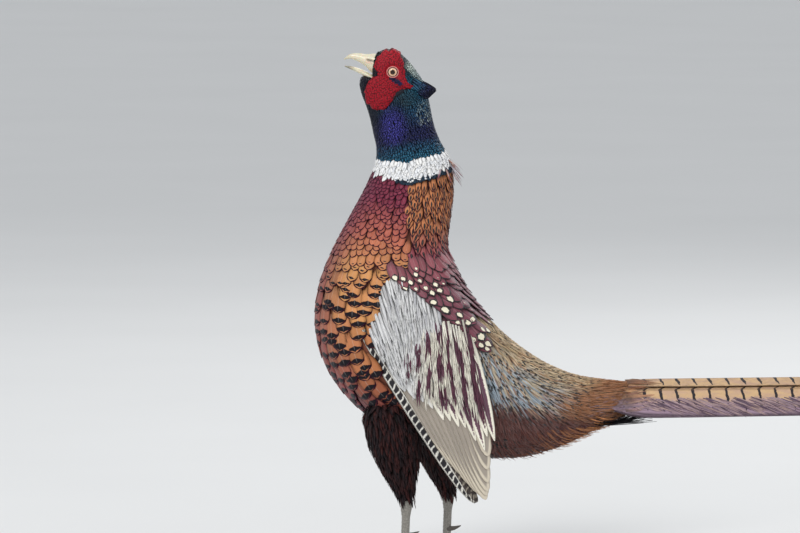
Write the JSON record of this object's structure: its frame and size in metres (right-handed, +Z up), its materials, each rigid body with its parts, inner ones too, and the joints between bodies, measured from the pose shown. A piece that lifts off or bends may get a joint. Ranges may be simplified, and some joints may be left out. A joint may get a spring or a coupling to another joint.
{
  "type": "common pheasant",
  "caption": "Life-size still model of a cock common pheasant standing and crowing, bill open, wings drooped, long tail held level.",
  "frame": {"origin": "on the floor, under the middle of the model's bounding box", "axes": "the bird faces -X, its left side faces -Y, and +Z is up"},
  "size_m": [0.7536, 0.136, 0.4969],
  "materials": {
    "head_feathers": "glossy blue-black feathers with a green and pale grey crown",
    "neck_feathers": "glossy navy feathers with violet and teal patches",
    "collar_feathers": "white feathers",
    "mantle_feathers": "copper and maroon feathers with dark edges",
    "breast_feathers": "golden orange feathers with black tips",
    "rump_feathers": "grey-blue and rusty orange hair-like feathers",
    "bill_horn": "pale ivory horn, satin",
    "eye": "wet and glossy, cream iris and black pupil",
    "wattle_skin": "crimson bare skin with fine bulbs",
    "wing_feathers": "grey-white, buff and plum flight feathers and coverts",
    "thigh_feathers": "soft black-brown feathers",
    "leg_scales": "grey horny scales",
    "claw_horn": "dark horn, satin",
    "tail_feathers": "buff tail feathers with narrow black bars and a purple fringe"
  },
  "bodies": {
    "root": {"head": "head_feathers", "neck": "neck_feathers", "collar": "collar_feathers", "mantle": "mantle_feathers", "torso": "breast_feathers", "rump": "rump_feathers", "upper_bill": "bill_horn", "lower_bill": "bill_horn", "eye_left": "eye", "eye_right": "eye", "wattle_left": "wattle_skin", "wattle_right": "wattle_skin", "ear_tuft_left": "head_feathers", "ear_tuft_right": "head_feathers", "wing_left": "wing_feathers", "wing_right": "wing_feathers", "thigh_left": "thigh_feathers", "thigh_right": "thigh_feathers", "tarsus_left": "leg_scales", "tarsus_right": "leg_scales", "foot_left": "leg_scales", "foot_right": "leg_scales", "claw_inner_left": "claw_horn", "claw_middle_left": "claw_horn", "claw_outer_left": "claw_horn", "claw_hind_left": "claw_horn", "claw_inner_right": "claw_horn", "claw_middle_right": "claw_horn", "claw_outer_right": "claw_horn", "claw_hind_right": "claw_horn", "tail": "tail_feathers"}
  },
  "joints": []
}
